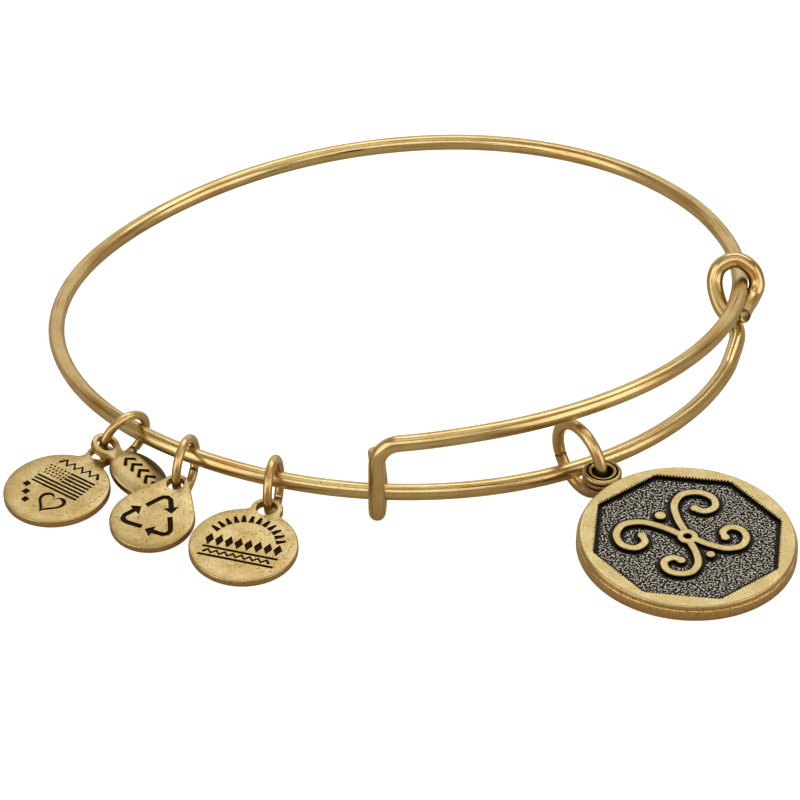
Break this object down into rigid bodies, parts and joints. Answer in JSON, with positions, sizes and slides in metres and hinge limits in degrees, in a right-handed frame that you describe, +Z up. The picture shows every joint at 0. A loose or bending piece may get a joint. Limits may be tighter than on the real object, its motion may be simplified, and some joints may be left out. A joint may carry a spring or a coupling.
{
  "type": "charm bangle",
  "caption": "Expandable wire bangle with a hook that clasps its own strand and a closed eye, carrying a round medallion and small flat charms on jump rings.",
  "frame": {"origin": "middle of the wrist opening, on the surface that the bangle lies on", "axes": "+Z up out of the surface and along the wrist opening, +Y to the back of the bangle, +X to the closed eye"},
  "size_m": [0.0682, 0.0795, 0.0095],
  "materials": {
    "wire": "antique brass drawn wire, satin, with dark tarnish streaks along its length",
    "rings": "antique brass wire, satin to polished",
    "medallion": "antique brass casting, sandblasted rim and strokes, blackened stippled field",
    "charms": "antique brass stamping, fine sandblasted grain, black in the engraved marks"
  },
  "bodies": {
    "root": {"bangle_wire": "wire", "main_jump_ring": "rings", "medallion": "medallion", "left_jump_ring": "rings", "heart_disc": "charms", "oval_tag": "charms", "middle_jump_ring": "rings", "arrow_drop": "charms", "right_jump_ring": "rings", "border_disc": "charms"}
  },
  "joints": []
}
